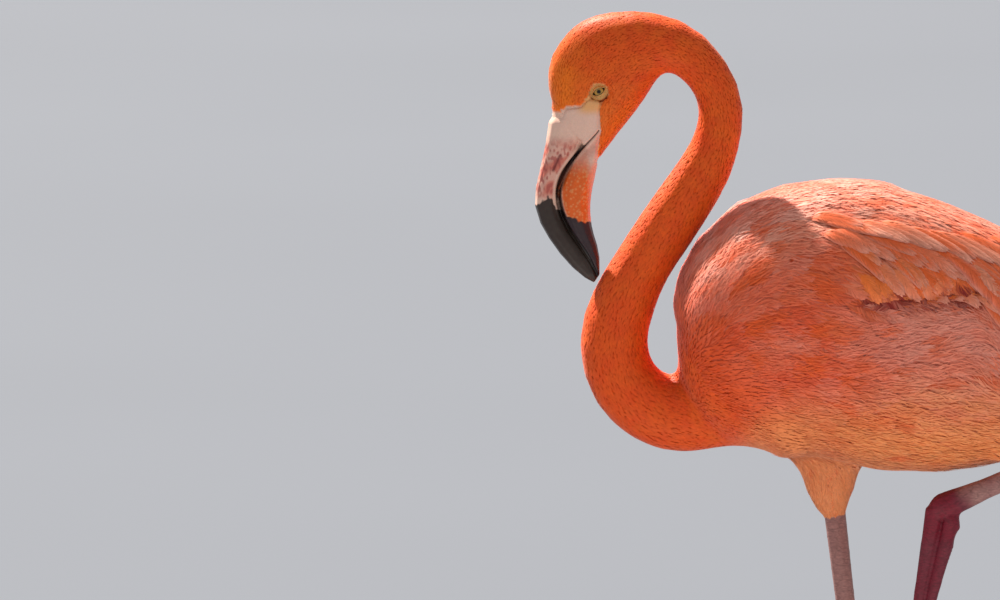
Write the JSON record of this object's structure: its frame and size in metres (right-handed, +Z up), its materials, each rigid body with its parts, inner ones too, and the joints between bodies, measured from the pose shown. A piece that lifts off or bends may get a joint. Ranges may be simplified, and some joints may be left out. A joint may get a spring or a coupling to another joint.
{
  "type": "flamingo",
  "caption": "Life-size standing flamingo with an S-shaped neck, down-bent bill, folded wings, a long webbed leg and the other leg tucked up under the flank.",
  "frame": {"origin": "underside of the middle toe of the standing right foot, on the floor, in the bird's mid-plane", "axes": "+Z up; the bird faces -X; its left side is -Y"},
  "size_m": [0.5571, 0.175, 0.861],
  "materials": {
    "plumage_neck": "short velvety orange-red feathers",
    "plumage_body": "soft salmon-pink contour feathers",
    "plumage_wing": "pale pink and orange flight feathers and coverts",
    "bill": "satin horn, pinkish white with a black tip",
    "eye": "wet, pale yellow iris and dark pupil",
    "leg_skin": "dry scaled skin, greyish pink",
    "foot_skin": "dry webbed skin, dark pink-red",
    "claw": "dark horn"
  },
  "bodies": {
    "root": {"head": "plumage_neck", "bill_upper": "bill", "bill_lower": "bill", "eye_right": "eye", "eye_left": "eye", "neck_1": "plumage_neck", "neck_2": "plumage_neck", "neck_3": "plumage_neck", "neck_4": "plumage_neck", "trunk": "plumage_body", "wing_right": "plumage_wing", "wing_left": "plumage_wing", "tail": "plumage_wing", "flank_left": "plumage_body", "thigh_right": "plumage_body", "tibia_right": "leg_skin", "tarsus_right": "leg_skin", "toe_right_inner": "foot_skin", "claw_right_inner": "claw", "toe_right_middle": "foot_skin", "claw_right_middle": "claw", "toe_right_outer": "foot_skin", "claw_right_outer": "claw", "web_right_inner": "foot_skin", "web_right_outer": "foot_skin", "toe_right_hind": "foot_skin", "claw_right_hind": "claw", "tarsus_left": "leg_skin", "hock_left": "leg_skin", "toe_left_middle": "foot_skin", "claw_left_middle": "claw", "toe_left_outer": "foot_skin", "claw_left_outer": "claw", "toe_left_inner": "foot_skin", "claw_left_inner": "claw", "toe_left_hind": "foot_skin", "web_left": "foot_skin"}
  },
  "joints": []
}
